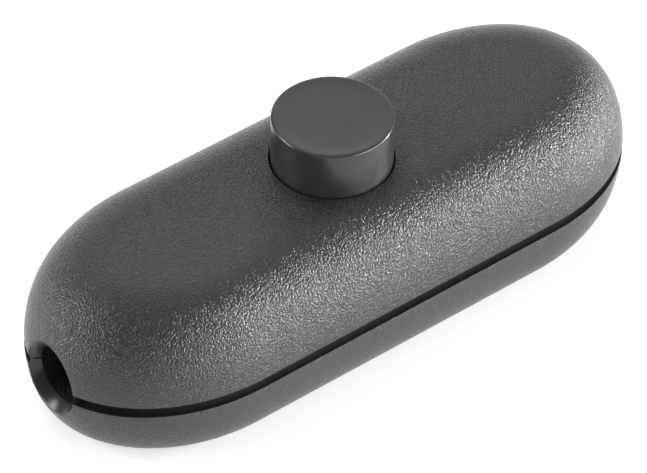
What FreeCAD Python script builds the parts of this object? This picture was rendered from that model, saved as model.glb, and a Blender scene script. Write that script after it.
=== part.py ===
import FreeCAD, Part
import math
import os
import re

import Sketcher
from FreeCAD import Vector

# An inline cord switch: two moulded shells that meet at a shadow gap, a round push button on top,
# and inside a ratchet rotor that carries the contact bridge between two contact springs.
# The origin is at the middle of the flat underside, X runs along the cord and Z points up.

doc = FreeCAD.newDocument("InlineCordSwitch")

# Driving dimensions in millimetres
SIZES = {
    # outer form of the housing
    "body_length": 92.4,
    "body_width": 34.2,
    "end_length": 21.9,
    "housing_height": 23.6,
    "parting_height": 10.3,
    "top_shoulder_end": 11.4,
    "top_shoulder_side": 9.6,
    "base_shoulder_end": 7.0,
    "base_shoulder_side": 5.0,
    "shoulder_fullness": 2.2,
    # walls
    "wall": 2.2,
    "roof": 2.4,
    "floor": 2.2,
    # joint between the two shells
    "shadow_gap": 1.2,
    "shadow_depth": 1.0,
    "lip_height": 1.6,
    "lip_thickness": 1.0,
    "lip_root": 2.0,
    "lip_gap": 0.15,
    # cord entries
    "cord_bore_radius": 3.9,
    "cord_mouth_radius": 4.9,
    "cord_mouth_depth": 1.4,
    "mouth_ring": 0.25,
    "mouth_ring_drop": 0.1,
    "cord_collar_radius": 6.2,
    "cord_collar_length": 7.0,
    # push button
    "button_radius": 8.0,
    "button_proud": 7.0,
    "button_wall": 1.6,
    "button_roof": 2.0,
    "button_dish": 0.4,
    "dish_floor_radius": 4.0,
    "button_edge": 0.4,
    "button_rim": 0.3,
    "button_travel": 3.0,
    "flange_radius": 9.4,
    "flange_thickness": 1.2,
    "guide_depth": 5.0,
    "guide_wall": 2.0,
    "guide_clearance": 0.2,
    "rail_width": 2.0,
    "rail_length": 4.9,
    "rail_bite": 1.0,
    "rail_clearance": 0.25,
    # ratchet between the button and the rotor
    "drive_outer_radius": 5.9,
    "drive_inner_radius": 3.9,
    "drive_angle": 30.0,
    "finger_angle": 12.0,
    "finger_inset": 0.1,
    "tooth_count": 8.0,
    "finger_count": 4.0,
    "drive_clearance": 0.15,
    "stop_clearance": 0.4,
    # contact rotor and its pin
    "rotor_radius": 7.4,
    "rotor_disc": 2.0,
    "rotor_drum": 3.0,
    "rotor_hub_radius": 3.0,
    "drum_rim": 0.2,
    "pin_radius": 1.5,
    "pin_clearance": 0.06,
    "pin_above_rotor": 7.0,
    "pin_seat_depth": 1.5,
    # contact bridge, contact springs and rivets
    "bridge_thickness": 0.5,
    "bridge_arm_width": 2.4,
    "bridge_reach": 7.2,
    "bridge_ring_radius": 4.6,
    "bridge_ring_clearance": 0.15,
    "contact_gap": 0.12,
    "contact_radius": 5.6,
    "contact_height": 2.6,
    "rivet_head_radius": 1.2,
    "rivet_head": 0.6,
    "rivet_shank_radius": 0.6,
    "rivet_tail": 0.4,
    "rivet_tail_radius": 0.9,
    "strip_thickness": 0.4,
    "strip_width": 4.0,
    "strip_ramp": 1.7,
    "strip_nose": 1.6,
    # contact base
    "base_length": 30.0,
    "base_width": 20.4,
    "base_plate": 2.0,
    "base_boss": 1.8,
    "base_partition": 0.8,
    "base_partition_height": 5.0,
    "peg_radius": 1.2,
    "peg_spacing": 22.0,
    "peg_from_edge": 1.8,
    "peg_proud": 0.6,
    "peg_clearance": 0.1,
    # terminals
    "terminal_width": 5.6,
    "terminal_height": 6.0,
    "terminal_gap": 0.15,
    "terminal_from_rotor": 1.6,
    "wire_hole_radius": 1.3,
    "wire_hole_height": 2.2,
    "link_strip_width": 3.0,
    "link_strip_thickness": 1.0,
    # screws
    "terminal_screw_radius": 1.45,
    "terminal_head_radius": 2.4,
    "terminal_head": 1.6,
    "clamp_screw_radius": 1.3,
    "clamp_screw_length": 8.0,
    "clamp_head_radius": 2.3,
    "clamp_head": 1.6,
    "housing_screw_radius": 1.4,
    "housing_screw_length": 12.0,
    "housing_head_radius": 2.6,
    "housing_head": 2.0,
    "slot_width": 0.7,
    "slot_depth": 0.8,
    "screw_clearance": 0.04,
    "pass_clearance": 0.15,
    # housing screw posts
    "post_from_end": 18.7,
    "post_from_side": 7.5,
    "post_radius": 2.7,
    "well_radius": 3.1,
    "well_wall": 1.3,
    "well_depth": 5.0,
    # cord clamps
    "clamp_from_end": 13.0,
    "clamp_length": 21.0,
    "clamp_width": 5.0,
    "clamp_corner": 2.0,
    "clamp_bar": 2.0,
    "clamp_arch": 1.6,
    "clamp_bite": 0.5,
    "clamp_screw_spacing": 15.6,
    # return spring and its washer
    "spring_radius": 2.7,
    "spring_wire_radius": 0.35,
    "spring_turns": 5.0,
    "washer_radius": 3.6,
    "washer_thickness": 0.5,
    "washer_clearance": 0.1,
    # how far a rib or post runs into the wall that carries it
    "overlap": 0.2,
}

# Heights and places that follow from the sizes above
PLACES = {
    "half_length": "body_length / 2",
    "half_width": "body_width / 2",
    "roof_underside": "housing_height - roof",
    "flange_top": "housing_height - guide_depth",
    "button_top": "housing_height + button_proud",
    "button_ceiling": "button_top - button_dish - button_roof",
    "base_top": "floor + base_plate",
    "boss_top": "base_top + base_boss",
    "contact_top": "base_top + contact_height",
    "strip_top": "contact_top - rivet_head",
    "bridge_bottom": "contact_top + contact_gap",
    "bridge_top": "bridge_bottom + bridge_thickness",
    "disc_top": "bridge_top + rotor_disc",
    "drum_top": "disc_top + rotor_drum",
    "tooth_pitch": "360 / tooth_count",
    "ramp_per_degree": "button_travel / drive_angle",
    "tooth_rise": "ramp_per_degree * tooth_pitch",
    "finger_start": "tooth_pitch - finger_angle - (tooth_pitch - finger_angle - drive_angle) / 2",
    "finger_tip": "drum_top + ramp_per_degree * finger_start + drive_clearance",
    "finger_rise": "ramp_per_degree * finger_angle",
    "sleeve_bottom": "drum_top + tooth_rise + button_travel + stop_clearance",
    "washer_top": "drum_top + washer_thickness",
    "pin_top": "drum_top + pin_above_rotor",
    "terminal_length": "base_length / 2 - rotor_radius - terminal_from_rotor",
    "terminal_x": "base_length / 2 - terminal_length / 2",
    "terminal_bottom": "base_top + strip_thickness",
    "terminal_top": "terminal_bottom + terminal_height",
    "partition_y": "terminal_width / 2 + terminal_gap + base_partition / 2",
    "neutral_y": "-(terminal_width + 2 * terminal_gap + base_partition)",
    "post_x": "half_length - post_from_end",
    "post_y": "half_width - post_from_side",
    "clamp_x": "half_length - clamp_from_end",
    "clamp_top": "parting_height + clamp_bar",
    "clamp_screw_y": "clamp_screw_spacing / 2",
    "mouth_rim": "half_length - end_length * (1 - sqrt(1 - (cord_mouth_radius / half_width)^2))",
    "ring_radius": "cord_mouth_radius + mouth_ring",
    "ring_end": "half_length - end_length * (1 - sqrt(1 - (ring_radius / half_width)^2)) - mouth_ring_drop",
    "collar_end": "mouth_rim - wall / 2",
    "collar_start": "collar_end - cord_collar_length",
    "guide_outer": "button_radius + guide_clearance + guide_wall",
    "rail_inner": "flange_radius - rail_bite",
    "lip_outer": "half_width - wall - lip_gap",
    "lip_inner": "lip_outer - lip_thickness",
    "lip_reach": "half_length - end_length",
    "dish_reach": "button_radius - button_edge - button_rim",
    "nose_end": "contact_radius - strip_nose",
    "nose_start": "contact_radius + strip_nose",
    "ramp_end": "nose_start + strip_ramp",
    "peg_y": "base_width / 2 - peg_from_edge",
    "link_strip_y": "neutral_y - terminal_width / 2 + link_strip_width / 2",
    "neutral_top": "base_top + terminal_height",
    "housing_screw_end": "well_depth + housing_screw_length",
}


def alias_cells(sheet_name, values):
    """A spreadsheet with a name, a value and an alias in each row."""
    sheet = doc.addObject("Spreadsheet::Sheet", sheet_name)
    for row, (name, value) in enumerate(values.items(), start=1):
        sheet.set(f"A{row}", name)
        sheet.set(f"B{row}", str(value))
        sheet.setAlias(f"B{row}", name)
    doc.recompute()
    return sheet


def named(text):
    """The expression with each size or place given its sheet."""
    def with_sheet(match):
        word = match.group(0)
        if word in SIZES:
            return f"Sizes.{word}"
        return f"Places.{word}" if word in PLACES else word
    return re.sub(r"[a-z][a-z_]+", with_sheet, text)


sizes = alias_cells("Sizes", SIZES)
places = alias_cells("Places", {name: "=" + named(text) for name, text in PLACES.items()})


def value(text):
    """The number that an expression gives now."""
    return float(places.evalExpression(named(text)))


def bind(item, field, text):
    item.setExpression(field, named(text))


def new_piece(label):
    piece = doc.addObject("PartDesign::Body", label)
    piece.Label = label
    return piece


def origin_feature(piece, role):
    return next(feature for feature in piece.Origin.OriginFeatures if feature.Role == role)


def new_sketch(piece, name, plane="XY_Plane", offset="0", up="0", across="0"):
    """A sketch on one of the piece's own planes, off it by offset, its origin shifted by up and across."""
    sketch = piece.newObject("Sketcher::SketchObject", name)
    sketch.AttachmentSupport = [(origin_feature(piece, plane), "")]
    sketch.MapMode = "FlatFace"
    bind(sketch, "AttachmentOffset.Base.z", offset)
    bind(sketch, "AttachmentOffset.Base.y", up)
    bind(sketch, "AttachmentOffset.Base.x", across)
    return sketch


def hold(sketch, kind, *where_and_text):
    """A constraint whose datum follows an expression."""
    *where, text = where_and_text
    index = sketch.addConstraint(Sketcher.Constraint(kind, *where, value(text)))
    bind(sketch, f"Constraints[{index}]", text)


def hold_point(sketch, item, end, across, up):
    hold(sketch, "DistanceX", -1, 1, item, end, across)
    hold(sketch, "DistanceY", -1, 1, item, end, up)


def circle(sketch, across, up, radius):
    centre = Vector(value(across), value(up), 0)
    item = sketch.addGeometry(Part.Circle(centre, Vector(0, 0, 1), value(radius)))
    hold_point(sketch, item, 3, across, up)
    hold(sketch, "Radius", item, radius)


def polygon(sketch, corners):
    """A closed outline of straight edges through corners, each a pair of expressions."""
    points = [Vector(value(across), value(up), 0) for across, up in corners]
    lines = []
    for start, end in zip(points, points[1:] + points[:1]):
        lines.append(sketch.addGeometry(Part.LineSegment(start, end)))
    for line, following in zip(lines, lines[1:] + lines[:1]):
        sketch.addConstraint(Sketcher.Constraint("Coincident", line, 2, following, 1))
    for line, (across, up) in zip(lines, corners):
        hold_point(sketch, line, 1, across, up)
    return lines


def rectangle(sketch, left, right, bottom, top):
    return polygon(sketch, [(left, bottom), (right, bottom), (right, top), (left, top)])


def block(sketch, across, up, width, height):
    """A rectangle about its middle."""
    rectangle(sketch, f"{across} - {width} / 2", f"{across} + {width} / 2",
              f"{up} - {height} / 2", f"{up} + {height} / 2")


def plan_outline(sketch, half_length, half_width, end_length):
    """The housing's plan: straight sides and half-elliptical ends."""
    shoulder = value(f"{half_length} - ({end_length})")
    tip = value(half_length)
    side = value(half_width)
    quarter = math.pi / 2
    arcs = []
    for sign in (1, -1):
        ellipse = Part.Ellipse(Vector(sign * shoulder + tip - shoulder, 0, 0),
                               Vector(sign * shoulder, side, 0), Vector(sign * shoulder, 0, 0))
        start = -quarter if sign > 0 else quarter
        arc = sketch.addGeometry(Part.ArcOfEllipse(ellipse, start, start + 2 * quarter))
        first_inner = sketch.GeometryCount
        sketch.exposeInternalGeometry(arc)
        signed_shoulder = f"{sign} * ({half_length} - ({end_length}))"
        hold_point(sketch, arc, 3, signed_shoulder, "0")
        hold_point(sketch, first_inner, 1, f"{signed_shoulder} + ({end_length})", "0")
        hold(sketch, "DistanceY", -1, 1, first_inner + 1, 1, half_width)
        hold(sketch, "DistanceX", -1, 1, arc, 1, signed_shoulder)
        hold(sketch, "DistanceX", -1, 1, arc, 2, signed_shoulder)
        arcs.append(arc)
    right, left = arcs
    far = sketch.addGeometry(Part.LineSegment(Vector(shoulder, side, 0), Vector(-shoulder, side, 0)))
    near = sketch.addGeometry(Part.LineSegment(Vector(-shoulder, -side, 0), Vector(shoulder, -side, 0)))
    for line, before, after in ((far, right, left), (near, left, right)):
        sketch.addConstraint(Sketcher.Constraint("Coincident", before, 2, line, 1))
        sketch.addConstraint(Sketcher.Constraint("Coincident", line, 2, after, 1))


def inset_outline(sketch, inset):
    plan_outline(sketch, f"half_length - ({inset})", f"half_width - ({inset})", f"end_length - ({inset})")


def feature(piece, kind, name, profile, **fields):
    """A PartDesign feature; text fields are expressions, the others are set as they are."""
    item = piece.newObject(f"PartDesign::{kind}", name)
    item.Profile = profile
    for field, setting in fields.items():
        if isinstance(setting, str):
            bind(item, field, setting)
        else:
            setattr(item, field, setting)
    return item


def pad(piece, sketch, length, **fields):
    return feature(piece, "Pad", sketch.Name + "_pad", sketch, Length=length, **fields)


def pocket(piece, sketch, length, **fields):
    return feature(piece, "Pocket", sketch.Name + "_cut", sketch, Length=length, **fields)


def turned(piece, kind, sketch, axis):
    """A turned solid or a turned cut about one of the sketch's own axes."""
    item = feature(piece, kind, f"{sketch.Name}_turned", sketch)
    item.ReferenceAxis = (sketch, [axis])
    item.Angle = 360
    return item


def helical_ramp(piece, sketch, rise, angle):
    """The sketch swept round Z through an angle while it climbs by rise."""
    item = feature(piece, "AdditiveHelix", f"{sketch.Name}_ramp", sketch)
    item.ReferenceAxis = (sketch, ["V_Axis"])
    item.Mode = "height-turns-angle"
    bind(item, "Height", rise)
    bind(item, "Turns", f"{angle} / 360")
    return item


def turn_about_z(sketch, angle):
    """Turns an upright sketch round the Z axis."""
    offset = sketch.AttachmentOffset
    offset.Rotation = FreeCAD.Rotation(Vector(0, 1, 0), value(angle))
    sketch.AttachmentOffset = offset
    bind(sketch, "AttachmentOffset.Rotation.Angle", angle)


def turn_piece(piece, angle):
    piece.Placement = FreeCAD.Placement(Vector(), FreeCAD.Rotation(Vector(0, 0, 1), value(angle)))
    bind(piece, "Placement.Rotation.Angle", angle)


def repeat_round(piece, name, originals, count, axis="Z_Axis"):
    pattern = piece.newObject("PartDesign::PolarPattern", name)
    pattern.Originals = originals
    pattern.Axis = (origin_feature(piece, axis), [""])
    pattern.Angle = 360
    bind(pattern, "Occurrences", count)
    piece.Tip = pattern
    return pattern


# Curved shells

UPPER_ANGLES = (90, 77, 59, 46, 35, 20, 12, 0)
LOWER_ANGLES = (0, 7, 18, 33, 48, 70, 90)
UPPER_CAVITY_ANGLES = (90, 78, 63, 47, 30, 14, 0)
LOWER_CAVITY_ANGLES = (0, 22, 46, 70, 90)


def shoulder_sections(piece, prefix, angles, inset, crest, end_drop, side_drop):
    """Plan outlines up a shoulder that turns from the parting line to a flat crest.

    At 90 degrees the outline is the full plan at the parting height; at 0 it lies in the crest,
    drawn in by end_drop along the body and by side_drop across it.
    """
    sketches = []
    for angle in angles:
        rise = f"(cos({angle} deg))^(2 / shoulder_fullness)" if angle < 90 else "0"
        drawn_in = f"(1 - (sin({angle} deg))^(2 / shoulder_fullness))" if angle > 0 else "1"
        height = f"parting_height + ({crest} - parting_height) * {rise}"
        sketch = new_sketch(piece, f"{prefix}_{angle}", offset=height)
        plan_outline(sketch,
                     f"half_length - {inset} - ({end_drop} - {inset}) * {drawn_in}",
                     f"half_width - {inset} - ({side_drop} - {inset}) * {drawn_in}",
                     f"end_length - {inset} - ({side_drop} - {inset}) * {drawn_in}")
        sketches.append(sketch)
    return sketches


def loft(piece, kind, name, sketches):
    return feature(piece, kind, name, sketches[0], Sections=sketches[1:], Ruled=True)


def shell(label, angles, cavity_angles, crest, inner_crest, end_drop, side_drop):
    """One housing shell: the outer shoulder lofted, then hollowed by a cavity of its own form."""
    piece = new_piece(label)
    outer = shoulder_sections(piece, "outer", angles, "0", crest, end_drop, side_drop)
    loft(piece, "AdditiveLoft", "outer_form", outer)
    inner = shoulder_sections(piece, "inner", cavity_angles, "wall", inner_crest, end_drop, side_drop)
    loft(piece, "SubtractiveLoft", "cavity", inner)
    return piece


def cut_shadow_gap(piece, side):
    """Half of the gap that runs round the housing, open to the outside."""
    ring = new_sketch(piece, "shadow_gap_ring", offset="parting_height")
    inset_outline(ring, "-overlap")
    inset_outline(ring, "shadow_depth")
    pocket(piece, ring, "shadow_gap / 2", Reversed=side > 0)


def add_cord_collars(piece, side):
    """Half-round collars inside both ends that carry the cord bore."""
    collar = new_sketch(piece, "collar", "YZ_Plane", "collar_start", "parting_height")
    half_disc(collar, "cord_collar_radius", side)
    grown = pad(piece, collar, "cord_collar_length")
    repeat_round(piece, "collars", [grown], "2")


def close_gap_at_mouths(piece, side):
    """Half rings round both cord mouths, where the shadow gap stops."""
    ring = new_sketch(piece, "mouth_ring", "YZ_Plane", "collar_end - overlap", "parting_height")
    half_disc(ring, "ring_radius", side)
    grown = pad(piece, ring, "ring_end - collar_end + overlap")
    repeat_round(piece, "mouth_rings", [grown], "2")


def half_disc(sketch, radius, side):
    """Half a disc about the sketch's origin, above it for side 1 and below it for side -1."""
    reach = value(radius)
    half_turn = math.pi
    start = 0 if side > 0 else half_turn
    full_circle = Part.Circle(Vector(0, 0, 0), Vector(0, 0, 1), reach)
    arc = sketch.addGeometry(Part.ArcOfCircle(full_circle, start, start + half_turn))
    arc_start = Vector(side * reach, 0, 0)
    line = sketch.addGeometry(Part.LineSegment(-arc_start, arc_start))
    sketch.addConstraint(Sketcher.Constraint("Coincident", arc, 2, line, 1))
    sketch.addConstraint(Sketcher.Constraint("Coincident", line, 2, arc, 1))
    hold_point(sketch, arc, 3, "0", "0")
    hold(sketch, "Radius", arc, radius)
    hold(sketch, "DistanceY", -1, 1, arc, 1, "0")
    hold(sketch, "DistanceY", -1, 1, arc, 2, "0")


def cut_cord_bores(piece):
    """The bores for the cord, straight inside and flared at the mouth."""
    profile = new_sketch(piece, "cord_bore", "XZ_Plane", up="parting_height")
    flare = "(cord_mouth_radius - cord_bore_radius) / cord_mouth_depth"
    inner = "clamp_x - clamp_width"
    outer = "half_length + overlap"
    polygon(profile, [
        (inner, "0"),
        (outer, "0"),
        (outer, f"cord_mouth_radius + {flare} * ({outer} - mouth_rim)"),
        ("mouth_rim - cord_mouth_depth", "cord_bore_radius"),
        (inner, "cord_bore_radius"),
    ])
    bore = turned(piece, "Groove", profile, "H_Axis")
    repeat_round(piece, "cord_bores", [bore], "2")


def clamp_outline(sketch):
    """A cord clamp's plan, and its saddle's: a bar across the body with its corners cut off."""
    inner = "clamp_x - clamp_width / 2"
    outer = "clamp_x + clamp_width / 2"
    end = "clamp_length / 2"
    polygon(sketch, [
        (inner, f"clamp_corner - {end}"),
        (f"{inner} + clamp_corner", f"-{end}"),
        (f"{outer} - clamp_corner", f"-{end}"),
        (outer, f"clamp_corner - {end}"),
        (outer, f"{end} - clamp_corner"),
        (f"{outer} - clamp_corner", end),
        (f"{inner} + clamp_corner", end),
        (inner, f"{end} - clamp_corner"),
    ])


# Upper shell: roof, button guide with its two rails, screw posts and the upper halves of the cord collars

upper_shell = shell("upper_shell", UPPER_ANGLES, UPPER_CAVITY_ANGLES, "housing_height", "roof_underside",
                    "top_shoulder_end", "top_shoulder_side")

guide = new_sketch(upper_shell, "guide", offset="flange_top")
circle(guide, "0", "0", "guide_outer")
pad(upper_shell, guide, "guide_depth - roof / 2")

rail = new_sketch(upper_shell, "rail", offset="flange_top - rail_length")
rectangle(rail, "-rail_width / 2", "rail_width / 2", "rail_inner", "guide_outer - overlap")
rail_pad = pad(upper_shell, rail, "rail_length + overlap")
repeat_round(upper_shell, "rails", [rail_pad], "2")

upper_post = new_sketch(upper_shell, "post", offset="parting_height")
circle(upper_post, "post_x", "-post_y", "post_radius")
post_pad = pad(upper_shell, upper_post, "roof_underside + overlap - parting_height")
repeat_round(upper_shell, "posts", [post_pad], "2")
pilot = new_sketch(upper_shell, "pilot", offset="parting_height")
circle(pilot, "post_x", "-post_y", "housing_screw_radius + screw_clearance")
pilot_cut = pocket(upper_shell, pilot, "housing_screw_end + overlap - parting_height", Reversed=True)
repeat_round(upper_shell, "pilots", [pilot_cut], "2")

add_cord_collars(upper_shell, 1)
cut_shadow_gap(upper_shell, 1)
close_gap_at_mouths(upper_shell, 1)
cut_cord_bores(upper_shell)

guide_bore = new_sketch(upper_shell, "guide_bore", offset="flange_top - overlap")
circle(guide_bore, "0", "0", "button_radius + guide_clearance")
pocket(upper_shell, guide_bore, "guide_depth + 2 * overlap", Reversed=True)

# Lower shell: floor, lip, screw wells, cord saddles and the pegs that hold the contact base

lower_shell = shell("lower_shell", LOWER_ANGLES, LOWER_CAVITY_ANGLES, "0", "floor",
                    "base_shoulder_end", "base_shoulder_side")

lip_root = new_sketch(lower_shell, "lip_root", offset="parting_height - lip_root")
rectangle(lip_root, "-lip_reach", "lip_reach", "lip_inner", "half_width - wall + overlap")
rectangle(lip_root, "-lip_reach", "lip_reach", "-half_width + wall - overlap", "-lip_inner")
pad(lower_shell, lip_root, "lip_root")
lip = new_sketch(lower_shell, "lip", offset="parting_height")
rectangle(lip, "-lip_reach", "lip_reach", "lip_inner", "lip_outer")
rectangle(lip, "-lip_reach", "lip_reach", "-lip_outer", "-lip_inner")
pad(lower_shell, lip, "lip_height")

lower_post = new_sketch(lower_shell, "post", offset="floor / 2")
circle(lower_post, "post_x", "-post_y", "post_radius")
lower_post_pad = pad(lower_shell, lower_post, "parting_height - floor / 2")
well_tube = new_sketch(lower_shell, "well_tube", offset="floor / 2")
circle(well_tube, "post_x", "-post_y", "well_radius + well_wall")
well_tube_pad = pad(lower_shell, well_tube, "well_depth + well_wall - floor / 2")
saddle = new_sketch(lower_shell, "saddle", offset="floor / 2")
clamp_outline(saddle)
saddle_pad = pad(lower_shell, saddle, "parting_height - floor / 2")
repeat_round(lower_shell, "posts_and_saddles", [lower_post_pad, well_tube_pad, saddle_pad], "2")

pegs = new_sketch(lower_shell, "pegs", offset="floor / 2")
for side in ("-", ""):
    circle(pegs, f"{side}peg_spacing / 2", "peg_y", "peg_radius")
pad(lower_shell, pegs, "base_top + peg_proud - floor / 2")

well = new_sketch(lower_shell, "well")
circle(well, "post_x", "-post_y", "well_radius")
well_cut = pocket(lower_shell, well, "well_depth", Reversed=True)
post_hole = new_sketch(lower_shell, "post_hole", offset="parting_height")
circle(post_hole, "post_x", "-post_y", "housing_screw_radius + pass_clearance")
post_hole_cut = pocket(lower_shell, post_hole, "parting_height - well_depth + overlap")
saddle_holes = new_sketch(lower_shell, "saddle_holes", offset="parting_height")
for side in ("-", ""):
    circle(saddle_holes, "clamp_x", f"{side}clamp_screw_y", "clamp_screw_radius + screw_clearance")
saddle_hole_cut = pocket(lower_shell, saddle_holes, "clamp_screw_length")
repeat_round(lower_shell, "holes", [well_cut, post_hole_cut, saddle_hole_cut], "2")

add_cord_collars(lower_shell, -1)
cut_shadow_gap(lower_shell, -1)
close_gap_at_mouths(lower_shell, -1)
cut_cord_bores(lower_shell)

# Push button: a dished cap with a flange, and a sleeve whose four fingers drive the rotor

push_button = new_piece("push_button")
section = new_sketch(push_button, "section", "XZ_Plane")
polygon(section, [
    ("0", "button_top - button_dish"),
    ("dish_floor_radius", "button_top - button_dish"),
    ("dish_reach", "button_top"),
    ("button_radius - button_edge", "button_top"),
    ("button_radius", "button_top - button_edge"),
    ("button_radius", "flange_top"),
    ("flange_radius", "flange_top"),
    ("flange_radius", "flange_top - flange_thickness"),
    ("button_radius - button_wall", "flange_top - flange_thickness"),
    ("button_radius - button_wall", "button_ceiling"),
    ("drive_outer_radius", "button_ceiling"),
    ("drive_outer_radius", "sleeve_bottom"),
    ("drive_inner_radius", "sleeve_bottom"),
    ("drive_inner_radius", "button_ceiling"),
    ("0", "button_ceiling"),
])
turned(push_button, "Revolution", section, "V_Axis")

finger = new_sketch(push_button, "finger", "XZ_Plane")
turn_about_z(finger, "finger_start")
rectangle(finger, "drive_inner_radius + finger_inset", "drive_outer_radius - finger_inset",
          "finger_tip", "sleeve_bottom + overlap")
finger_helix = helical_ramp(push_button, finger, "finger_rise", "finger_angle")
repeat_round(push_button, "fingers", [finger_helix], "finger_count")

notch = new_sketch(push_button, "rail_notch", offset="flange_top")
rectangle(notch, "-rail_width / 2 - rail_clearance", "rail_width / 2 + rail_clearance",
          "rail_inner - rail_clearance", "flange_radius + overlap")
notch_cut = pocket(push_button, notch, "flange_thickness")
repeat_round(push_button, "rail_notches", [notch_cut], "2")

# Contact rotor: a disc over the contact bridge, a drum with a ring of saw teeth, and a hub on the base's boss

contact_rotor = new_piece("contact_rotor")
disc = new_sketch(contact_rotor, "disc", offset="bridge_top")
circle(disc, "0", "0", "rotor_radius")
pad(contact_rotor, disc, "rotor_disc")
drum = new_sketch(contact_rotor, "drum", offset="disc_top - overlap")
circle(drum, "0", "0", "drive_outer_radius + drum_rim")
pad(contact_rotor, drum, "rotor_drum + overlap")
hub = new_sketch(contact_rotor, "hub", offset="boss_top")
circle(hub, "0", "0", "rotor_hub_radius")
pad(contact_rotor, hub, "bridge_top - boss_top + overlap")
tooth = new_sketch(contact_rotor, "tooth", "XZ_Plane")
rectangle(tooth, "drive_inner_radius", "drive_outer_radius", "drum_top - tooth_rise", "drum_top")
tooth_helix = helical_ramp(contact_rotor, tooth, "tooth_rise", "tooth_pitch")
repeat_round(contact_rotor, "teeth", [tooth_helix], "tooth_count")
rotor_bore = new_sketch(contact_rotor, "rotor_bore", offset="drum_top")
circle(rotor_bore, "0", "0", "pin_radius + pin_clearance")
pocket(contact_rotor, rotor_bore, "drum_top - boss_top")

# Contact bridge: a brass cross under the rotor, standing between the two contacts when the switch is off

contact_bridge = new_piece("contact_bridge")
ring = new_sketch(contact_bridge, "ring", offset="bridge_bottom")
circle(ring, "0", "0", "bridge_ring_radius")
pad(contact_bridge, ring, "bridge_thickness")
arm = new_sketch(contact_bridge, "arm", offset="bridge_bottom")
rectangle(arm, "bridge_ring_radius - bridge_arm_width / 2", "bridge_reach",
          "-bridge_arm_width / 2", "bridge_arm_width / 2")
arm_pad = pad(contact_bridge, arm, "bridge_thickness")
repeat_round(contact_bridge, "arms", [arm_pad], "tooth_count / 2")
ring_hole = new_sketch(contact_bridge, "ring_hole", offset="bridge_top")
circle(ring_hole, "0", "0", "rotor_hub_radius + bridge_ring_clearance")
pocket(contact_bridge, ring_hole, "bridge_thickness")
turn_piece(contact_bridge, "tooth_pitch")

# Pivot pin, washer and return spring

pivot_pin = new_piece("pivot_pin")
pin_section = new_sketch(pivot_pin, "section", "XZ_Plane")
polygon(pin_section, [
    ("0", "base_top - pin_seat_depth"),
    ("pin_radius", "base_top - pin_seat_depth"),
    ("pin_radius", "pin_top"),
    ("0", "pin_top"),
])
turned(pivot_pin, "Revolution", pin_section, "V_Axis")

spring_washer = new_piece("spring_washer")
washer = new_sketch(spring_washer, "washer", offset="drum_top")
circle(washer, "0", "0", "washer_radius")
circle(washer, "0", "0", "pin_radius + washer_clearance")
pad(spring_washer, washer, "washer_thickness")

return_spring = new_piece("return_spring")
wire = new_sketch(return_spring, "wire", "XZ_Plane", up="washer_top + spring_wire_radius")
polygon(wire, [
    ("spring_radius + spring_wire_radius", "0"),
    ("spring_radius", "spring_wire_radius"),
    ("spring_radius - spring_wire_radius", "0"),
    ("spring_radius", "-spring_wire_radius"),
])
coil = feature(return_spring, "AdditiveHelix", "coil", wire)
coil.ReferenceAxis = (wire, ["V_Axis"])
coil.Mode = "height-turns-angle"
bind(coil, "Height", "button_ceiling - washer_top - 2 * spring_wire_radius")
bind(coil, "Turns", "spring_turns")

# Contact base: the plate that carries the pin, the contact springs and the terminals

switch_base = new_piece("switch_base")
plate = new_sketch(switch_base, "plate", offset="floor")
block(plate, "0", "0", "base_length", "base_width")
pad(switch_base, plate, "base_plate")
boss = new_sketch(switch_base, "boss", offset="base_top")
circle(boss, "0", "0", "rotor_hub_radius")
pad(switch_base, boss, "base_boss")
partitions = new_sketch(switch_base, "partitions", offset="base_top")
for end in ("-", ""):
    for side in ("-", ""):
        block(partitions, f"{end}terminal_x", f"{side}partition_y", "terminal_length", "base_partition")
pad(switch_base, partitions, "base_partition_height")
pin_seat = new_sketch(switch_base, "pin_seat", offset="boss_top")
circle(pin_seat, "0", "0", "pin_radius + screw_clearance")
pocket(switch_base, pin_seat, "base_boss + pin_seat_depth")
peg_holes = new_sketch(switch_base, "peg_holes", offset="base_top")
for side in ("-", ""):
    circle(peg_holes, f"{side}peg_spacing / 2", "peg_y", "peg_radius + peg_clearance")
pocket(switch_base, peg_holes, "base_plate")


# Live side: a contact spring, its silver rivet and a terminal block at each end

def contact_spring(label, turn):
    """A bronze strip that runs from under its terminal up to the contact."""
    piece = new_piece(label)
    strip = new_sketch(piece, "strip", "XZ_Plane", "-strip_width / 2")
    polygon(strip, [
        ("base_length / 2", "base_top"),
        ("base_length / 2", "base_top + strip_thickness"),
        ("ramp_end", "base_top + strip_thickness"),
        ("nose_start", "strip_top"),
        ("nose_end", "strip_top"),
        ("nose_end", "strip_top - strip_thickness"),
        ("nose_start", "strip_top - strip_thickness"),
        ("ramp_end", "base_top"),
    ])
    pad(piece, strip, "strip_width")
    rivet_hole = new_sketch(piece, "rivet_hole", offset="strip_top")
    circle(rivet_hole, "contact_radius", "0", "rivet_shank_radius + screw_clearance")
    pocket(piece, rivet_hole, "strip_thickness")
    turn_piece(piece, turn)
    return piece


def contact_rivet(label, turn):
    """A silver rivet through the contact spring's nose."""
    piece = new_piece(label)
    rivet = new_sketch(piece, "section", "XZ_Plane", up="strip_top", across="contact_radius")
    polygon(rivet, [
        ("0", "rivet_head"),
        ("rivet_head_radius", "rivet_head"),
        ("rivet_head_radius", "0"),
        ("rivet_shank_radius", "0"),
        ("rivet_shank_radius", "-strip_thickness"),
        ("rivet_tail_radius", "-strip_thickness"),
        ("rivet_tail_radius", "-strip_thickness - rivet_tail"),
        ("0", "-strip_thickness - rivet_tail"),
    ])
    turned(piece, "Revolution", rivet, "V_Axis")
    turn_piece(piece, turn)
    return piece


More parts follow.
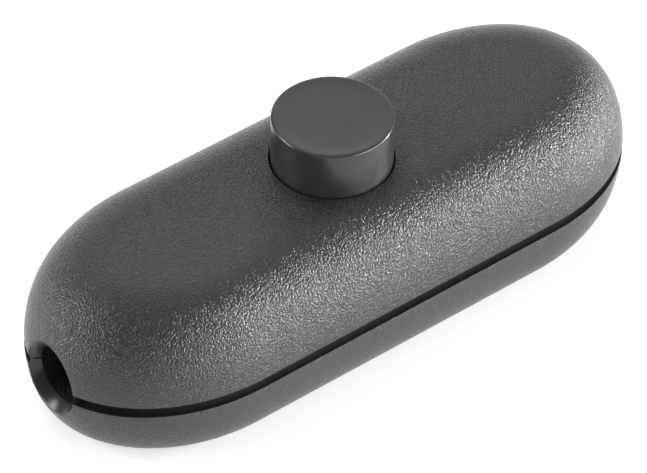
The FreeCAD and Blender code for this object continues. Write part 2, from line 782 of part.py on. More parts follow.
def terminal_block(piece, across, along, bottom):
    """A brass block with a wire hole from its outer end and a screw hole from its top."""
    foot = new_sketch(piece, "block", offset=bottom)
    block(foot, across, along, "terminal_length", "terminal_width")
    block_pad = pad(piece, foot, "terminal_height")
    wire_hole = new_sketch(piece, "wire_hole", "YZ_Plane", f"{across} + terminal_length / 2")
    circle(wire_hole, along, f"{bottom} + wire_hole_height", "wire_hole_radius")
    wire_cut = pocket(piece, wire_hole, "terminal_length - wire_hole_radius")
    screw_hole = new_sketch(piece, "screw_hole", offset=f"{bottom} + terminal_height")
    circle(screw_hole, across, along, "terminal_screw_radius + screw_clearance")
    screw_cut = pocket(piece, screw_hole, "terminal_height - wire_hole_height")
    return block_pad, wire_cut, screw_cut


for name, turn in (("in", "180"), ("out", "0")):
    contact_spring(f"contact_spring_{name}", turn)
    contact_rivet(f"contact_rivet_{name}", turn)
    terminal = new_piece(f"live_terminal_{name}")
    terminal_block(terminal, "terminal_x", "0", "terminal_bottom")
    turn_piece(terminal, turn)

# Neutral side: one brass link with a terminal block at each end

neutral_link = new_piece("neutral_link")
link_strip = new_sketch(neutral_link, "link_strip", offset="base_top")
block(link_strip, "0", "link_strip_y", "2 * terminal_x", "link_strip_width")
pad(neutral_link, link_strip, "link_strip_thickness")
out_block = terminal_block(neutral_link, "terminal_x", "neutral_y", "base_top")
mirror = neutral_link.newObject("PartDesign::Mirrored", "in_block")
mirror.Originals = list(out_block)
mirror.MirrorPlane = (origin_feature(neutral_link, "YZ_Plane"), [""])
neutral_link.Tip = mirror


# Screws

def slotted_screw(label, kind, length, across, along, up, turned_over=False):
    """A slotted pan-head screw; its head's underside is at the place given."""
    piece = new_piece(label)
    head = f"{kind}_head"
    head_radius = f"{kind}_head_radius"
    shank = f"{kind}_screw_radius"
    section = new_sketch(piece, "section", "XZ_Plane")
    polygon(section, [
        ("0", head),
        (head_radius, head),
        (head_radius, "0"),
        (shank, "0"),
        (shank, f"-({length})"),
        ("0", f"-({length})"),
    ])
    turned(piece, "Revolution", section, "V_Axis")
    slot = new_sketch(piece, "slot", offset=head)
    block(slot, "0", "0", f"2 * {head_radius}", "slot_width")
    pocket(piece, slot, "slot_depth")
    if turned_over:
        piece.Placement = FreeCAD.Placement(Vector(), FreeCAD.Rotation(Vector(1, 0, 0), 180))
    for axis, text in (("x", across), ("y", along), ("z", up)):
        bind(piece, f"Placement.Base.{axis}", text)
    return piece


for name, end in (("in", "-"), ("out", "")):
    live_reach = "terminal_height - wire_hole_height - terminal_gap"
    slotted_screw(f"live_screw_{name}", "terminal", live_reach, f"{end}terminal_x", "0", "terminal_top")
    slotted_screw(f"neutral_screw_{name}", "terminal", live_reach, f"{end}terminal_x", "neutral_y",
                  "neutral_top")
    clamp_x = f"{end}clamp_x"
    grip = "clamp_screw_length + clamp_bar - overlap"
    slotted_screw(f"clamp_screw_{name}_near", "clamp", grip, clamp_x, "-clamp_screw_y", "clamp_top")
    slotted_screw(f"clamp_screw_{name}_far", "clamp", grip, clamp_x, "clamp_screw_y", "clamp_top")
slotted_screw("housing_screw_near", "housing", "housing_screw_length", "post_x", "-post_y",
              "well_depth", turned_over=True)
slotted_screw("housing_screw_far", "housing", "housing_screw_length", "-post_x", "post_y",
              "well_depth", turned_over=True)


# Cord clamps: an arched bar over each saddle

def cord_clamp(label, turn):
    piece = new_piece(label)
    bar = new_sketch(piece, "bar", offset="parting_height")
    clamp_outline(bar)
    pad(piece, bar, "clamp_bar")
    near_face = "clamp_x - clamp_width / 2"
    arch = new_sketch(piece, "arch", "YZ_Plane", near_face, "parting_height")
    half_disc(arch, "cord_bore_radius + clamp_arch", 1)
    pad(piece, arch, "clamp_width")
    channel = new_sketch(piece, "channel", "YZ_Plane", near_face, "parting_height")
    circle(channel, "0", "0", "cord_bore_radius - clamp_bite")
    pocket(piece, channel, "clamp_width", Reversed=True)
    holes = new_sketch(piece, "holes", offset="clamp_top")
    for side in ("-", ""):
        circle(holes, "clamp_x", f"{side}clamp_screw_y", "clamp_screw_radius + pass_clearance")
    pocket(piece, holes, "clamp_bar")
    turn_piece(piece, turn)
    return piece


cord_clamp("cord_clamp_in", "180")
cord_clamp("cord_clamp_out", "0")

doc.recompute()

# Every feature has to be sound and to add or remove material as it is meant to

ADDS = ("Pad", "Revolution", "AdditiveLoft", "AdditiveHelix")
REMOVES = ("Pocket", "Groove", "SubtractiveLoft")
pieces = [item for item in doc.Objects if item.TypeId == "PartDesign::Body"]
for item in doc.Objects:
    if "Invalid" in item.State or "Error" in item.State:
        raise RuntimeError(f"{item.Label} did not recompute: {item.State}")
for piece in pieces:
    for item in piece.Group:
        kind = item.TypeId.split("::")[1]
        if kind not in ADDS + REMOVES:
            continue
        before = item.BaseFeature.Shape.Volume if item.BaseFeature else 0
        grew = item.Shape.Volume - before
        if (grew <= 0) == (kind in ADDS):
            raise RuntimeError(f"{piece.Label}: {item.Label} changed the volume by {grew:.4f}")
    if piece.Shape.isNull() or not piece.Shape.isValid() or len(piece.Shape.Solids) != 1:
        raise RuntimeError(f"{piece.Label} is not one valid solid")

os.makedirs("parts", exist_ok=True)
for piece in pieces:
    piece.Shape.exportStep(f"parts/{piece.Label}.step")
print(f"{len(pieces)} pieces written")
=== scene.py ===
import math

import bmesh
import bpy
from mathutils import Matrix, Vector


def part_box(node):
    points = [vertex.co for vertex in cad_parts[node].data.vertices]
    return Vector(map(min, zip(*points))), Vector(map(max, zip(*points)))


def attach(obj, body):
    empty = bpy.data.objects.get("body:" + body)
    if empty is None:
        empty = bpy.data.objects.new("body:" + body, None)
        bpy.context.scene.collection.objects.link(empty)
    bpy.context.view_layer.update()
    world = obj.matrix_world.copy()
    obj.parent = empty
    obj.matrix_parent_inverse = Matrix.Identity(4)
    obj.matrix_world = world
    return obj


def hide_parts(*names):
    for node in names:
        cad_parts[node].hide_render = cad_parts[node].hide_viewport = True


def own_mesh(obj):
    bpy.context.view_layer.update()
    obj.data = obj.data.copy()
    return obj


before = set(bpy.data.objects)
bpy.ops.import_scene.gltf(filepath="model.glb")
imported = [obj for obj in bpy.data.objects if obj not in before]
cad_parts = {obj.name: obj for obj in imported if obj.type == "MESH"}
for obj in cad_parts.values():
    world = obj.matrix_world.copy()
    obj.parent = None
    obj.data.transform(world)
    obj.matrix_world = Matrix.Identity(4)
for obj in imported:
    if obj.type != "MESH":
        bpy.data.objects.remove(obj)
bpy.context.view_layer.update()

# Lower shell: the shallow moulded dish that the switch stands on, in charcoal black thermoplastic with a
# fine leather grain. Its rim ends short of the parting line, which makes one half of the dark gap that runs
# round the housing. Two screw wells open in its flat underside.

half_length = 0.0462
half_width = 0.0171
end_length = 0.0219
parting_height = 0.0103
housing_height = 0.0236
shoulder_fullness = 2.2
base_draw_end = 0.0070
base_draw_side = 0.0050
top_draw_end = 0.0114
top_draw_side = 0.0096
cavity_inset = 0.0023
floor_thickness = 0.0023
gap_half_height = 0.0007
gap_depth = 0.0010
rim_edge = 0.00014


def plan_ring(draw_end, draw_side, height):
    """One closed line round the housing at a height: straight sides and half-elliptical ends."""
    length = half_length - draw_end
    width = half_width - draw_side
    nose = end_length - draw_side
    shoulder = length - nose
    around_end, along_side = 96, 56
    ring = []
    for step in range(around_end):
        turn = math.pi * (step / around_end - 0.5)
        ring.append(Vector((shoulder + nose * math.cos(turn), width * math.sin(turn), height)))
    for step in range(along_side):
        ring.append(Vector((shoulder * (1 - 2 * step / along_side), width, height)))
    return ring + [Vector((-point.x, -point.y, height)) for point in ring]


def shoulder_ring(angle, crest, draw_end, draw_side, inset=0.0):
    """The line round a shoulder at an angle: a right angle is the parting line and 0 is the crest."""
    rise = max(math.cos(angle), 0.0) ** (2 / shoulder_fullness)
    drawn = 1 - math.sin(angle) ** (2 / shoulder_fullness)
    return plan_ring(inset + (draw_end - inset) * drawn, inset + (draw_side - inset) * drawn,
                     parting_height + (crest - parting_height) * rise)


def last_shoulder_angle(height):
    """The shoulder angle at which the outer skin meets the rounded edge of its rim."""
    return math.acos(((rim_edge + gap_half_height) / height) ** (shoulder_fullness / 2))


def rim_rings(side):
    """The rim of a shell from its rounded outer edge into the gap and on to the parting line."""
    rings = []
    edge_steps = 4
    for step in range(edge_steps + 1):
        turn = math.radians(90 * step / edge_steps)
        inset = rim_edge * (1 - math.cos(turn))
        height = parting_height + side * (gap_half_height + rim_edge * (1 - math.sin(turn)))
        rings.append(plan_ring(inset, inset, height))
    rings.append(plan_ring(gap_depth, gap_depth, parting_height + side * gap_half_height))
    rings.append(plan_ring(gap_depth, gap_depth, parting_height))
    rings.append(plan_ring(cavity_inset, cavity_inset, parting_height))
    return rings


def skin_of_rings(rings):
    """A closed solid whose skin runs through the rings in turn and ends in a flat face at each end."""
    build = bmesh.new()
    rows = [[build.verts.new(point) for point in ring] for ring in rings]
    for row, following in zip(rows, rows[1:]):
        for here in range(len(row)):
            there = (here + 1) % len(row)
            build.faces.new((row[here], row[there], following[there], following[here]))
    build.faces.new(rows[0])
    build.faces.new(rows[-1])
    bmesh.ops.recalc_face_normals(build, faces=build.faces)
    mesh = bpy.data.meshes.new("moulding")
    build.to_mesh(mesh)
    build.free()
    return mesh


def shell_skin(side, crest, inner_crest, draw_end, draw_side, inner_steps):
    """One shell: over its outside from the crest, round its rim and back over its inside."""
    outer_steps = 26
    last_angle = last_shoulder_angle(abs(crest - parting_height))
    rings = [shoulder_ring(last_angle * step / outer_steps, crest, draw_end, draw_side)
             for step in range(outer_steps)]
    rings += rim_rings(side)
    rings += [shoulder_ring(math.radians(90 - 90 * step / inner_steps), inner_crest, draw_end, draw_side,
                            cavity_inset) for step in range(1, inner_steps + 1)]
    return skin_of_rings(rings)


def link(tree, out_node, out_name, in_node, in_name):
    """Joins one node's output to another node's input."""
    tree.links.new(out_node.outputs[out_name], in_node.inputs[in_name])


def new_finish(name):
    """A material, its nodes, its shader and the node that gives the object's own coordinates."""
    finish = bpy.data.materials.new(name)
    finish.use_nodes = True
    tree = finish.node_tree
    place = tree.nodes.new("ShaderNodeTexCoord")
    return finish, tree, tree.nodes["Principled BSDF"], place


def colour_between(tree, shader, source, out_name, low, high, first, second):
    """Base colour that runs from the first to the second as a pattern's value goes from low to high."""
    ramp = tree.nodes.new("ShaderNodeValToRGB")
    ramp.color_ramp.elements[0].position = low
    ramp.color_ramp.elements[0].color = (*first, 1)
    ramp.color_ramp.elements[1].position = high
    ramp.color_ramp.elements[1].color = (*second, 1)
    link(tree, source, out_name, ramp, "Fac")
    link(tree, ramp, "Color", shader, "Base Color")


def noise(tree, place, scale, detail, stretch=(1, 1, 1)):
    """A noise pattern in the object's own coordinates, stretched along an axis where a share is below 1."""
    sized = tree.nodes.new("ShaderNodeMapping")
    sized.inputs["Scale"].default_value = stretch
    pattern = tree.nodes.new("ShaderNodeTexNoise")
    pattern.inputs["Scale"].default_value = scale
    pattern.inputs["Detail"].default_value = detail
    link(tree, place, "Object", sized, "Vector")
    link(tree, sized, "Vector", pattern, "Vector")
    return pattern


def bump(tree, shader, source, out_name, height, strength=1.0):
    """Raises the surface by a pattern, up to a height in metres."""
    raised = tree.nodes.new("ShaderNodeBump")
    raised.inputs["Distance"].default_value = height
    raised.inputs["Strength"].default_value = strength
    link(tree, source, out_name, raised, "Height")
    link(tree, raised, "Normal", shader, "Normal")
    return raised


def grained_plastic():
    """Black thermoplastic from an etched mould: a fine leather of low pebbles with creases between."""
    finish, tree, shader, place = new_finish("grained_black_plastic")
    shader.inputs["Roughness"].default_value = 0.24
    wobble_reach = 0.00020
    crease_share = 0.9
    grain_height = 0.000100
    wobble = noise(tree, place, 2600, detail=2)
    drift = tree.nodes.new("ShaderNodeVectorMath")
    drift.operation = "MULTIPLY_ADD"
    drift.inputs[1].default_value = (wobble_reach, wobble_reach, wobble_reach)
    link(tree, wobble, "Color", drift, 0)
    link(tree, place, "Object", drift, 2)
    pebbles = tree.nodes.new("ShaderNodeTexVoronoi")
    pebbles.inputs["Scale"].default_value = 3500
    link(tree, drift, "Vector", pebbles, "Vector")
    creases = noise(tree, place, 5200, detail=1)
    grain = tree.nodes.new("ShaderNodeMath")
    grain.operation = "MULTIPLY_ADD"
    grain.inputs[1].default_value = crease_share
    link(tree, creases, "Fac", grain, 0)
    link(tree, pebbles, "Distance", grain, 2)
    bump(tree, shader, grain, "Value", -grain_height)
    # The colour follows the grain's depth: the creases between the pebbles are painted darker than the pebble
    # tops, as painted shade in the hollows.
    colour_between(tree, shader, grain, "Value", low=0.45, high=1.25, first=(0.030, 0.032, 0.031),
                   second=(0.021, 0.023, 0.022))
    return finish


def smooth_plastic(name, dark, light, roughness):
    """Thermoplastic from a polished mould, with the faint unevenness of its flow."""
    finish, tree, shader, place = new_finish(name)
    shader.inputs["Roughness"].default_value = roughness
    flow = noise(tree, place, 260, detail=4)
    colour_between(tree, shader, flow, "Fac", 0.35, 0.65, dark, light)
    bump(tree, shader, noise(tree, place, 5200, detail=2), "Fac", height=0.000004)
    return finish


housing_grain = grained_plastic()
housing_smooth = smooth_plastic("smooth_black_plastic", (0.030, 0.033, 0.032), (0.038, 0.041, 0.040), 0.34)
# Painted shade for the parting gap: near black, with little sheen, so that the groove reads as shadow.
gap_painted_shade = smooth_plastic("gap_painted_shade_plastic", (0.006, 0.006, 0.006), (0.009, 0.009, 0.009), 0.8)
gap_painted_shade.node_tree.nodes["Principled BSDF"].inputs["Specular IOR Level"].default_value = 0.1
# The bore and bevel of each cord entry are smooth, as from a polished part of the mould, and painted darker
# than the housing: painted shade in the hole.
mouth_painted_shade = smooth_plastic("mouth_painted_shade_plastic", (0.010, 0.011, 0.011), (0.015, 0.016, 0.016), 0.3)


def paint_gap_shade(mesh):
    """Paints the faces of the gap and the inner part of its rounded edges near black, without the grain:
    painted shade where the gap lies in shadow.
    """
    mesh.materials.append(gap_painted_shade)
    for face in mesh.polygons:
        if abs(face.center.z - parting_height) < gap_half_height + rim_edge / 2:
            face.material_index = 1


lower_mesh = shell_skin(-1, 0.0, floor_thickness, base_draw_end, base_draw_side, inner_steps=8)
lower_mesh.materials.append(housing_grain)
paint_gap_shade(lower_mesh)

# The cord entries are cut through both shells, with a half ring left in each where the gap stops.

bore_radius = 0.0039
mouth_radius = 0.0049
mouth_rim = 0.0453
mouth_reach = 0.0040
mouth_overcut = 0.0016
mouth_rise = 0.15
mouth_narrowing = 0.02
bevel_depth = 0.0014
bevel_bulge = 0.00008
ring_radius = 0.00494
ring_start = 0.0430
ring_end = mouth_rim - 0.00016
hairline = 0.00003


def turned_solid(name, profile, axis, steps=96):
    """A solid turned about an axis, through profile points given as (distance along it, radius)."""
    along = Vector(axis).normalized()
    side = along.orthogonal().normalized()
    other = along.cross(side)
    rings = []
    for distance, radius in profile:
        rings.append([along * distance + radius * (side * math.cos(math.tau * step / steps)
                      + other * math.sin(math.tau * step / steps)) for step in range(steps)])
    mesh = skin_of_rings(rings)
    mesh.name = name
    piece = bpy.data.objects.new(name, mesh)
    bpy.context.scene.collection.objects.link(piece)
    return piece


def cord_mouth(name, end):
    """The cutter for one cord entry: a straight bore with a bevel that ends in a slightly oval rim."""
    profile = [(mouth_rim - mouth_reach, bore_radius)]
    bevel_steps = 8
    for step in range(bevel_steps + 1):
        share = step / bevel_steps
        profile.append((mouth_rim - bevel_depth * (1 - share), bore_radius
                        + (mouth_radius - bore_radius) * share - bevel_bulge * math.sin(math.pi * share)))
    profile.append((mouth_rim + mouth_overcut, mouth_radius + mouth_overcut))
    cutter = turned_solid(name, profile, (end, 0, 0))
    for point in cutter.data.vertices:
        flare = min(max((abs(point.co.x) - mouth_rim) / bevel_depth + 1, 0.0), 1.0)
        point.co.y *= 1 - mouth_narrowing * flare
        if point.co.z > 0:
            point.co.z *= 1 + mouth_rise * flare
        point.co.z += parting_height
    # The faces cut by the entry take the mouth's painted shade.
    cutter.data.materials.append(mouth_painted_shade)
    return cutter


def mouth_ring(name, end, side):
    """Half of the ring round a cord entry, where the gap stops; the parting line stays as a hairline."""
    arc_steps = 48
    arc = [math.pi * step / arc_steps for step in range(arc_steps + 1)]
    rings = []
    for along in (ring_start, ring_end):
        rings.append([Vector((end * along, ring_radius * math.cos(turn),
                              parting_height + side * (hairline + ring_radius * math.sin(turn))))
                      for turn in arc])
    ring = bpy.data.objects.new(name, skin_of_rings(rings))
    bpy.context.scene.collection.objects.link(ring)
    # The ring's faces carry the gap's painted shade.
    ring.data.materials.append(gap_painted_shade)
    return ring


lower_mouth_rings = [mouth_ring("ring_in", -1, -1), mouth_ring("ring_out", 1, -1)]
lower_cutters = [cord_mouth("mouth_in", -1), cord_mouth("mouth_out", 1)]

# The screw wells lie across from each other in the underside.

well_along = 0.0275
well_aside = -0.0096
well_radius = 0.0031
well_depth = 0.0050
well_overcut = 0.0010
well_profile = [(-well_overcut, well_radius), (well_depth, well_radius)]
for side in (1, -1):
    well = turned_solid("well", well_profile, (0, 0, 1), steps=64)
    for point in well.data.vertices:
        point.co += Vector((side * well_along, side * well_aside, 0))
    well.data.materials.append(housing_smooth)
    lower_cutters.append(well)

# The posts, collars and ribs inside come from the frame's own shell.

rib_depth = 0.00115


def carve(mesh, name, added, cutters):
    """The mesh with blocks added and then cut, each of which leaves its own finish on its faces."""
    piece = bpy.data.objects.new(name, mesh)
    bpy.context.scene.collection.objects.link(piece)
    for tool in added + cutters:
        carving = piece.modifiers.new(tool.name, "BOOLEAN")
        carving.operation = "UNION" if tool in added else "DIFFERENCE"
        carving.solver = "EXACT"
        carving.material_mode = "TRANSFER"
        carving.object = tool
    shown = piece.evaluated_get(bpy.context.evaluated_depsgraph_get())
    carved = bpy.data.meshes.new_from_object(shown)
    piece.modifiers.clear()
    piece.data = carved
    for tool in added + cutters:
        bpy.data.objects.remove(tool)
    return piece


def depth_in_housing(point):
    """How far a point lies inside the housing's outer skin, measured level with the table."""
    if point.z > parting_height:
        rise = (point.z - parting_height) / (housing_height - parting_height)
        draw_end, draw_side = top_draw_end, top_draw_side
    else:
        rise = (parting_height - point.z) / parting_height
        draw_end, draw_side = base_draw_end, base_draw_side
    lean = min(max(rise, 0.0), 1.0) ** (shoulder_fullness / 2)
    drawn = 1 - math.sqrt(max(0.0, 1 - lean * lean)) ** (2 / shoulder_fullness)
    width = half_width - draw_side * drawn
    nose = end_length - draw_side * drawn
    past_shoulder = max(0.0, abs(point.x) - (half_length - draw_end * drawn - nose))
    return min(nose, width) * (1 - math.hypot(past_shoulder / nose, point.y / width))


def add_inner_ribs(piece, node, lowest, highest):
    """Joins the posts, collars and ribs of the frame's own shell, all deeper than its gap, to the piece."""
    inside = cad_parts[node].data.copy()
    build = bmesh.new()
    build.from_mesh(inside)
    buried = {corner: depth_in_housing(corner.co) > rib_depth and lowest < corner.co.z < highest
              for corner in build.verts}
    outer = [face for face in build.faces if not all(buried[corner] for corner in face.verts)]
    bmesh.ops.delete(build, geom=outer, context="FACES")
    for face in build.faces:
        face.material_index = 0
    build.from_mesh(piece.data)
    build.to_mesh(piece.data)
    build.free()
    bpy.data.meshes.remove(inside)


def smooth_to_edges(mesh, degrees):
    """Shades a mesh smooth, apart from the edges that are sharper than an angle."""
    mesh.polygons.foreach_set("use_smooth", [True] * len(mesh.polygons))
    mesh.set_sharp_from_angle(angle=math.radians(degrees))


lower_shell = carve(lower_mesh, "lower_moulding", lower_mouth_rings, lower_cutters)
add_inner_ribs(lower_shell, "lower_shell", lowest=0.0012, highest=0.0119)
smooth_to_edges(lower_shell.data, 32)
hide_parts("lower_shell")
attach(lower_shell, "housing")

# Upper shell: the hood of the same grained black plastic, with broad shoulders that round into a flat top.
# A round hole in the top guides the push button, and each end is halved by the cord entry. It is held by
# the two screws that come up through the lower shell.

button_hole_radius = 0.0082
button_hole_edge = 0.00012
button_hole_depth = 0.0040
button_hole_overcut = 0.0005
roof_thickness = 0.0025

upper_mesh = shell_skin(1, housing_height, housing_height - roof_thickness, top_draw_end, top_draw_side,
                        inner_steps=10)
upper_mesh.materials.append(housing_grain)
paint_gap_shade(upper_mesh)
hole_profile = [(housing_height - button_hole_depth, button_hole_radius)]
hole_edge_steps = 4
for step in range(hole_edge_steps + 1):
    turn = math.radians(90 * step / hole_edge_steps)
    hole_profile.append((housing_height - button_hole_edge * (1 - math.sin(turn)),
                         button_hole_radius + button_hole_edge * (1 - math.cos(turn))))
hole_profile.append((housing_height + button_hole_overcut, button_hole_radius + button_hole_edge))
button_hole = turned_solid("button_hole", hole_profile, (0, 0, 1), steps=128)
button_hole.data.materials.append(housing_smooth)
upper_mouth_rings = [mouth_ring("ring_in", -1, 1), mouth_ring("ring_out", 1, 1)]
upper_shell = carve(upper_mesh, "upper_moulding", upper_mouth_rings,
                    [cord_mouth("mouth_in", -1), cord_mouth("mouth_out", 1), button_hole])
add_inner_ribs(upper_shell, "upper_shell", lowest=0.0100, highest=0.0222)
smooth_to_edges(upper_shell.data, 32)
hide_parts("upper_shell")
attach(upper_shell, "housing")

# Push button: a smooth black cap from a polished mould, a little dished for the thumb, with a small rounded
# edge. Below the housing it has a flange that stops it and a sleeve whose fingers turn the rotor.

button_radius = 0.0080
button_top = 0.0306
button_dish = 0.00016
dish_radius = 0.0076
button_edge = 0.00030
cap_thickness = 0.0020
skirt_radius = 0.0078
sleeve_radius = 0.0064
flange_top = 0.0186
seam = 0.0001

cap_profile = [(button_top - button_dish * (1 - share ** 6), share * dish_radius)
               for share in (0.02, 0.2, 0.4, 0.5, 0.6, 0.7, 0.78, 0.86, 0.93, 1.0)]
cap_edge_steps = 9
for step in range(1, cap_edge_steps + 1):
    turn = math.radians(90 * step / cap_edge_steps)
    cap_profile.append((button_top - button_edge * (1 - math.cos(turn)),
                        button_radius - button_edge * (1 - math.sin(turn))))
cap_profile += [(flange_top + seam, button_radius), (flange_top + seam, sleeve_radius)]
push_button = turned_solid("button_cap", cap_profile, (0, 0, 1), steps=160)
button_gloss = smooth_plastic("satin_black_plastic", (0.022, 0.024, 0.024), (0.027, 0.029, 0.029), 0.22)
push_button.data.materials.append(button_gloss)

# The flange, the sleeve and its fingers come from the frame's own button.

under_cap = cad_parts["push_button"].data.copy()
build = bmesh.new()
build.from_mesh(under_cap)
outside = [face for face in build.faces
           if any(corner.co.z > button_top - cap_thickness or
                  (corner.co.z > flange_top + 2 * seam
                   and math.hypot(corner.co.x, corner.co.y) > skirt_radius)
                  for corner in face.verts)]
bmesh.ops.delete(build, geom=outside, context="FACES")
for face in build.faces:
    face.material_index = 0
build.from_mesh(push_button.data)
build.to_mesh(push_button.data)
build.free()
smooth_to_edges(push_button.data, 32)
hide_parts("push_button")
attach(push_button, "button")

# Contact base: a pale moulded thermoset plate that drops over two pegs of the lower shell. It carries the
# pivot pin, and thin walls on it keep the two sides of the mains apart.


def finish_node(node, finish):
    """Gives one of the frame's own solids its finish, with its round faces smooth."""
    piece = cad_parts[node]
    piece.data.materials.clear()
    piece.data.materials.append(finish)
    smooth_to_edges(piece.data, 30)
    return piece


finish_node("switch_base", smooth_plastic("pale_thermoset", (0.56, 0.54, 0.48), (0.64, 0.62, 0.56), 0.5))

# Brass parts: the live terminal blocks and the neutral link are milled from brass bar, drilled for the wire
# and tapped for a screw, and the bridge under the rotor is brass too. Fine cutter lines run along the bar.


def metal(name, dark, light, roughness, grain, stretch):
    """Bare metal with the lines that its rolling, turning or drawing left."""
    finish, tree, shader, place = new_finish(name)
    shader.inputs["Metallic"].default_value = 1.0
    shader.inputs["Roughness"].default_value = roughness
    lines = noise(tree, place, grain, 4, stretch)
    colour_between(tree, shader, lines, "Fac", 0.3, 0.7, dark, light)
    bump(tree, shader, lines, "Fac", 0.000006)
    return finish


brass = metal("milled_brass", (0.66, 0.49, 0.20), (0.80, 0.63, 0.31), 0.28, 900, (0.15, 1, 1))
for node in ("live_terminal_in", "live_terminal_out", "neutral_link", "contact_bridge"):
    finish_node(node, brass)

# Screws, pin and washer: zinc-plated steel, the screws turned and slotted. Terminal screws press on the wire,
# clamp screws hold the cord clamps, and the two housing screws come up from the wells in the underside.

zinc = metal("zinc_plated_steel", (0.52, 0.53, 0.52), (0.68, 0.69, 0.67), 0.3, 1400, (1, 1, 0.3))
for node in sorted(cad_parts):
    if "screw" in node or node in ("pivot_pin", "spring_washer"):
        finish_node(node, zinc)

# Contacts: springy bronze strips that run from under the live terminals, each with a silver rivet at its
# nose for the bridge to meet.

bronze = metal("rolled_bronze", (0.58, 0.38, 0.20), (0.72, 0.50, 0.29), 0.32, 1100, (0.1, 1, 1))
silver = metal("contact_silver", (0.78, 0.77, 0.74), (0.90, 0.89, 0.86), 0.25, 1600, (1, 1, 1))
for end in ("in", "out"):
    finish_node(f"contact_spring_{end}", bronze)
    finish_node(f"contact_rivet_{end}", silver)

# Contact rotor: an off-white moulded ratchet wheel that turns on the pin. The fingers of the button push its
# eight saw teeth round, and the bridge hangs below it.

rotor_plastic = smooth_plastic("off_white_moulding", (0.70, 0.69, 0.64), (0.78, 0.77, 0.72), 0.45)
finish_node("contact_rotor", rotor_plastic)

# Return spring: coiled from bright round wire, it stands on the washer of the rotor and lifts the button.
# Its ends are closed and lie flat.

spring_bottom = 0.01292
spring_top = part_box("return_spring")[1].z
spring_radius = 0.0027
wire_radius = 0.00033
spring_turns = 8.0
flat_turns = 0.8
wire_sides = 10
coil_points = []
coil_steps = 320
for step in range(coil_steps + 1):
    share = step / coil_steps
    turn = math.tau * spring_turns * share
    climb = min(max((share * spring_turns - flat_turns) / (spring_turns - 2 * flat_turns), 0.0), 1.0)
    rise = spring_bottom + wire_radius + climb * (spring_top - spring_bottom - 2 * wire_radius)
    coil_points.append(Vector((spring_radius * math.cos(turn), spring_radius * math.sin(turn), rise)))
wire_rings = []
for here, point in enumerate(coil_points):
    ahead = coil_points[min(here + 1, coil_steps)] - coil_points[max(here - 1, 0)]
    ahead.normalize()
    outward = Vector((point.x, point.y, 0)).normalized()
    upward = ahead.cross(outward).normalized()
    wire_rings.append([point + wire_radius * (outward * math.cos(math.tau * step / wire_sides)
                       + upward * math.sin(math.tau * step / wire_sides)) for step in range(wire_sides)])
spring_mesh = skin_of_rings(wire_rings)
spring_mesh.name = "spring_wire"
smooth_to_edges(spring_mesh, 60)
return_spring = bpy.data.objects.new("coiled_spring", spring_mesh)
bpy.context.scene.collection.objects.link(return_spring)
bright_wire = metal("spring_wire", (0.42, 0.42, 0.42), (0.58, 0.58, 0.57), 0.27, 1500, (1, 1, 1))
spring_mesh.materials.append(bright_wire)
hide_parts("return_spring")
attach(return_spring, "button")
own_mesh(return_spring)

# Cord clamps: black moulded bars, arched over the place of the cord behind each entry. Two screws pull each
# one down on the lower shell, so that the cord can't be drawn out.

clamp_plastic = smooth_plastic("clamp_black_plastic", (0.040, 0.040, 0.039), (0.052, 0.052, 0.050), 0.45)
for end in ("in", "out"):
    finish_node(f"cord_clamp_{end}", clamp_plastic)

# Table and light: a pale floor under soft studio lamps. A low wall of light in front and on the right draws
# the broad highlight on the near shoulder, and soft boxes stand behind and above.

table_reach = 6
table_gap = 0.0001
table_corners = [(x, y, 0) for x, y in ((-table_reach, -table_reach), (table_reach, -table_reach),
                                        (table_reach, table_reach), (-table_reach, table_reach))]
floor_mesh = bpy.data.meshes.new("table")
floor_mesh.from_pydata(table_corners, [], [(0, 1, 2, 3)])
table = bpy.data.objects.new("table", floor_mesh)
bpy.context.scene.collection.objects.link(table)
table.location.z = -table_gap
paper = bpy.data.materials.new("white_paper")
paper.use_nodes = True
tree = paper.node_tree
shader = tree.nodes["Principled BSDF"]
shader.inputs["Base Color"].default_value = (0.86, 0.86, 0.86, 1)
shader.inputs["Roughness"].default_value = 0.9
shader.inputs["Specular IOR Level"].default_value = 0.0
shader.inputs["Emission Color"].default_value = (1, 1, 1, 1)

# The table glows only where it is seen or mirrored, so that it looks white without lighting the switch.

seen = tree.nodes.new("ShaderNodeLightPath")
seen_or_mirrored = tree.nodes.new("ShaderNodeMath")
seen_or_mirrored.operation = "ADD"
seen_or_mirrored.use_clamp = True
link(tree, seen, "Is Camera Ray", seen_or_mirrored, 0)
link(tree, seen, "Is Glossy Ray", seen_or_mirrored, 1)
seen_at_all = tree.nodes.new("ShaderNodeMath")
seen_at_all.operation = "MAXIMUM"
link(tree, seen_or_mirrored, "Value", seen_at_all, 0)
link(tree, seen, "Is Transmission Ray", seen_at_all, 1)
glow = tree.nodes.new("ShaderNodeMath")
glow.operation = "MULTIPLY"
glow.inputs[1].default_value = 0.48
link(tree, seen_at_all, "Value", glow, 0)
link(tree, glow, "Value", shader, "Emission Strength")
floor_mesh.materials.append(paper)


lamp_distance = 0.9
lamp_aim = Vector((0, 0, 0.012))


def lamp(name, azimuth, elevation, width, height, power):
    """A soft box that looks at the switch: azimuth 0 is in front of it and 90 on its right, power in watts."""
    light = bpy.data.lights.new(name, "AREA")
    light.shape = "RECTANGLE"
    light.size = width
    light.size_y = height
    light.energy = power
    box = bpy.data.objects.new(name, light)
    bpy.context.scene.collection.objects.link(box)
    turn, lift = math.radians(azimuth), math.radians(elevation)
    towards = Vector((math.sin(turn) * math.cos(lift), -math.cos(turn) * math.cos(lift), math.sin(lift)))
    box.location = lamp_aim + towards * lamp_distance
    box.rotation_mode = "QUATERNION"
    box.rotation_quaternion = towards.to_track_quat("Z", "Y")


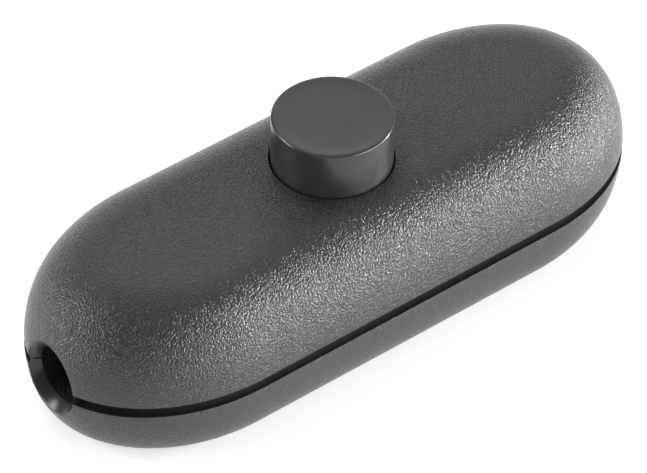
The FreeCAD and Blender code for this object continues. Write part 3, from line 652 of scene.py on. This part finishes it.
lamp("front_wall", 30, 8, 1.2, 0.22, 9.4)
lamp("front_strip", 28, 4, 0.9, 0.12, 6.0)
lamp("right_box", 67, 7, 0.2, 0.2, 9.0)
lamp("left_rear_box", -121, 10, 0.4, 0.26, 4.0)
lamp("left_rear_high_box", -131, 28, 0.28, 0.28, 2.6)
lamp("rear_box", 150, 20, 0.6, 0.35, 1.1)
lamp("right_rear_box", 135, 40, 0.5, 0.4, 0.6)
lamp("high_rear_box", 180, 62, 0.5, 0.5, 1.6)
lamp("top_box", 0, 88, 0.5, 0.5, 0.7)

sky = bpy.data.worlds.new("studio")
bpy.context.scene.world = sky
sky.use_nodes = True
sky.node_tree.nodes["Background"].inputs["Color"].default_value = (0.25, 0.25, 0.25, 1)

# Camera: a long lens that looks down on the near left end of the switch. It aims at the point that puts the
# middle of the housing a little right of and above the centre of the picture.

camera_turn = math.radians(-39.428)
camera_lift = math.radians(41.906)
camera_roll = math.radians(1.316)
camera_distance = 0.6453
picture_width = 647
focal_pixels = 4944.36
pixels_right = 7.09
pixels_up = 24.41
back = Vector((math.sin(camera_turn) * math.cos(camera_lift), -math.cos(camera_turn) * math.cos(camera_lift),
               math.sin(camera_lift)))
across = Vector((math.cos(camera_turn), math.sin(camera_turn), 0))
upright = back.cross(across)
leant_across = across * math.cos(camera_roll) + upright * math.sin(camera_roll)
leant_up = upright * math.cos(camera_roll) - across * math.sin(camera_roll)
middle = Vector((0, 0, 0.014))
place = middle + back * camera_distance
off_centre = leant_across * pixels_right + leant_up * pixels_up
aim = middle - off_centre * (camera_distance / focal_pixels)
towards_camera = (place - aim).normalized()
camera_across = leant_up.cross(towards_camera).normalized()
camera_up = towards_camera.cross(camera_across)
lens = bpy.data.cameras.new("camera")
lens.sensor_width = 36
lens.lens = focal_pixels * lens.sensor_width / picture_width
lens.clip_start = 0.01
camera = bpy.data.objects.new("camera", lens)
bpy.context.scene.collection.objects.link(camera)
camera.matrix_world = Matrix.Translation(place) @ Matrix(
    (camera_across, camera_up, towards_camera)).transposed().to_4x4()
bpy.context.scene.camera = camera
bpy.context.scene.view_settings.view_transform = "Standard"
